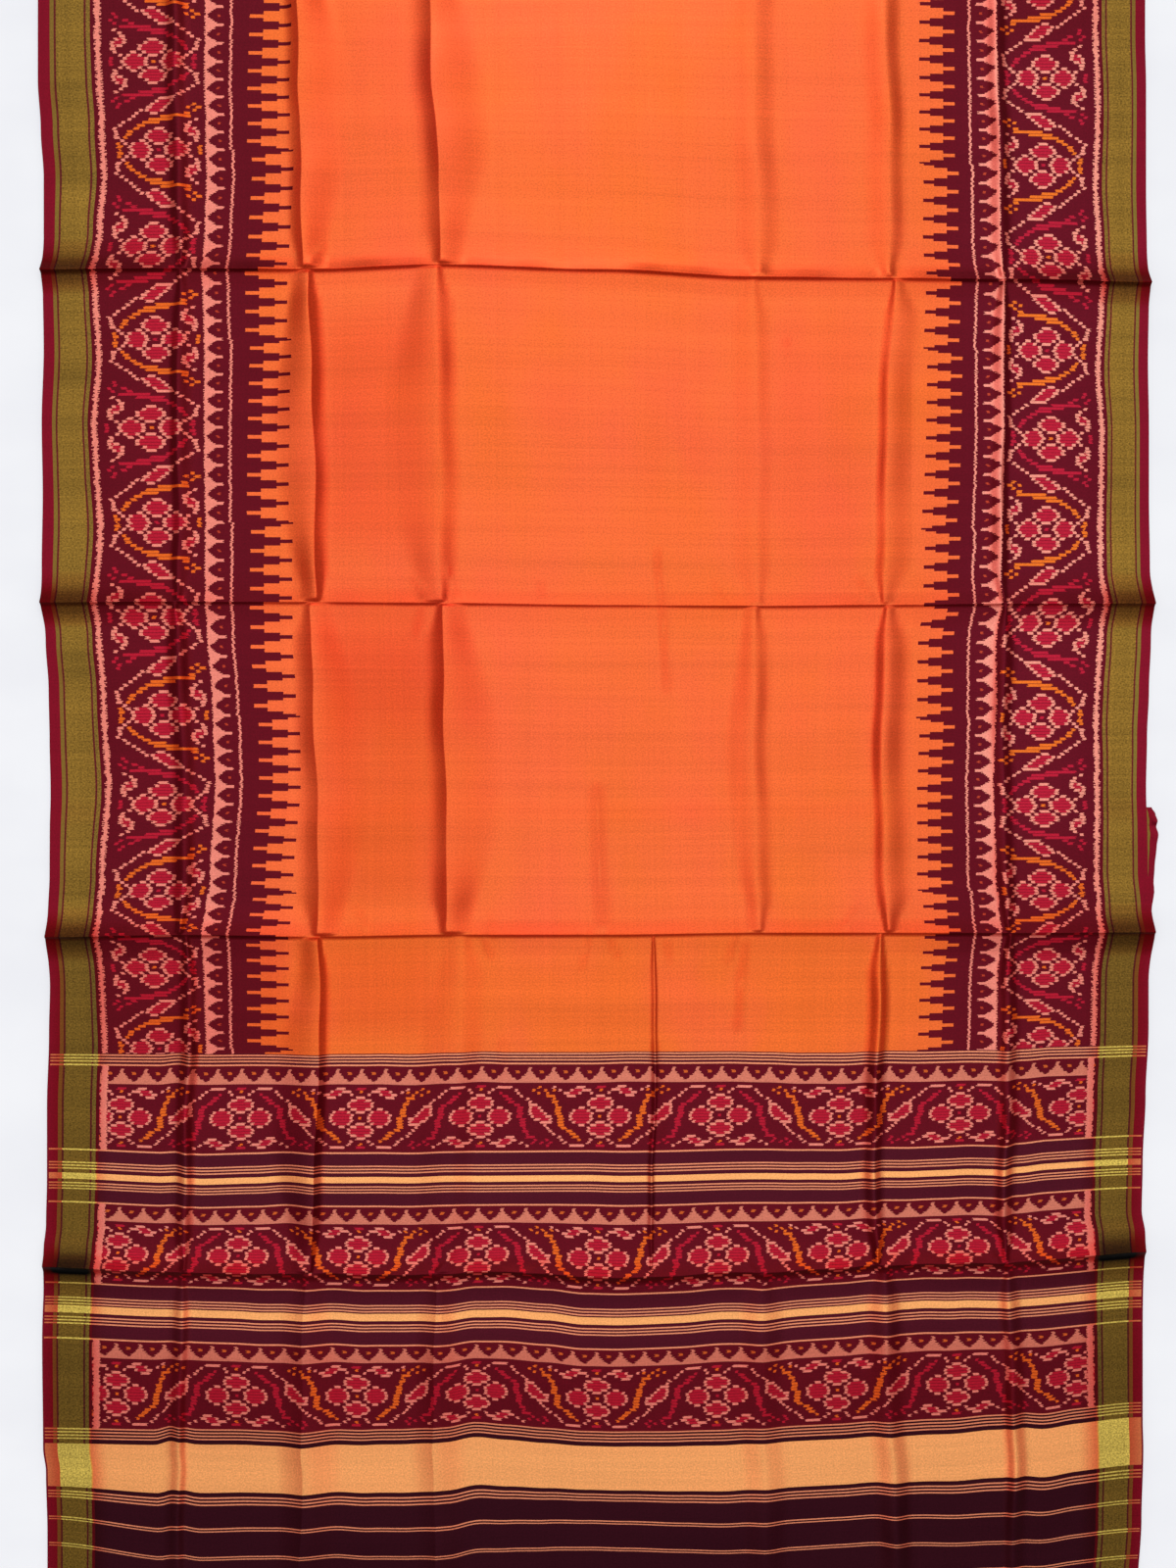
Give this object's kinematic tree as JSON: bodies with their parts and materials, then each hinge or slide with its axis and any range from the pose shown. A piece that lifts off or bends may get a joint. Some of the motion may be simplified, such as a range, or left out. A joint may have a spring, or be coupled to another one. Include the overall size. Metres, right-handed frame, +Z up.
{
  "type": "patola saree",
  "caption": "Silk saree with ikat borders and end piece, laid out flat with the rest of its length folded under it.",
  "frame": {"origin": "on the floor under the middle of the laid-out cloth", "axes": "+Z up out of the shown face, +Y along the cloth from the end piece towards the turn of the cloth, +X to the right as the picture shows it"},
  "size_m": [1.1602, 2.355, 0.0126],
  "materials": {
    "orange_silk": "satin",
    "border_silk": "satin",
    "pallu_silk": "satin",
    "end_silk": "satin",
    "hidden_silk": "satin"
  },
  "bodies": {
    "root": {"pallu_end": "end_silk", "pallu_bands": "pallu_silk", "field_near": "orange_silk", "field_far": "orange_silk", "border_left_near": "border_silk", "border_left_far": "border_silk", "border_right_near": "border_silk", "border_right_far": "border_silk", "under_layers": "hidden_silk", "under_corner": "hidden_silk"}
  },
  "joints": []
}
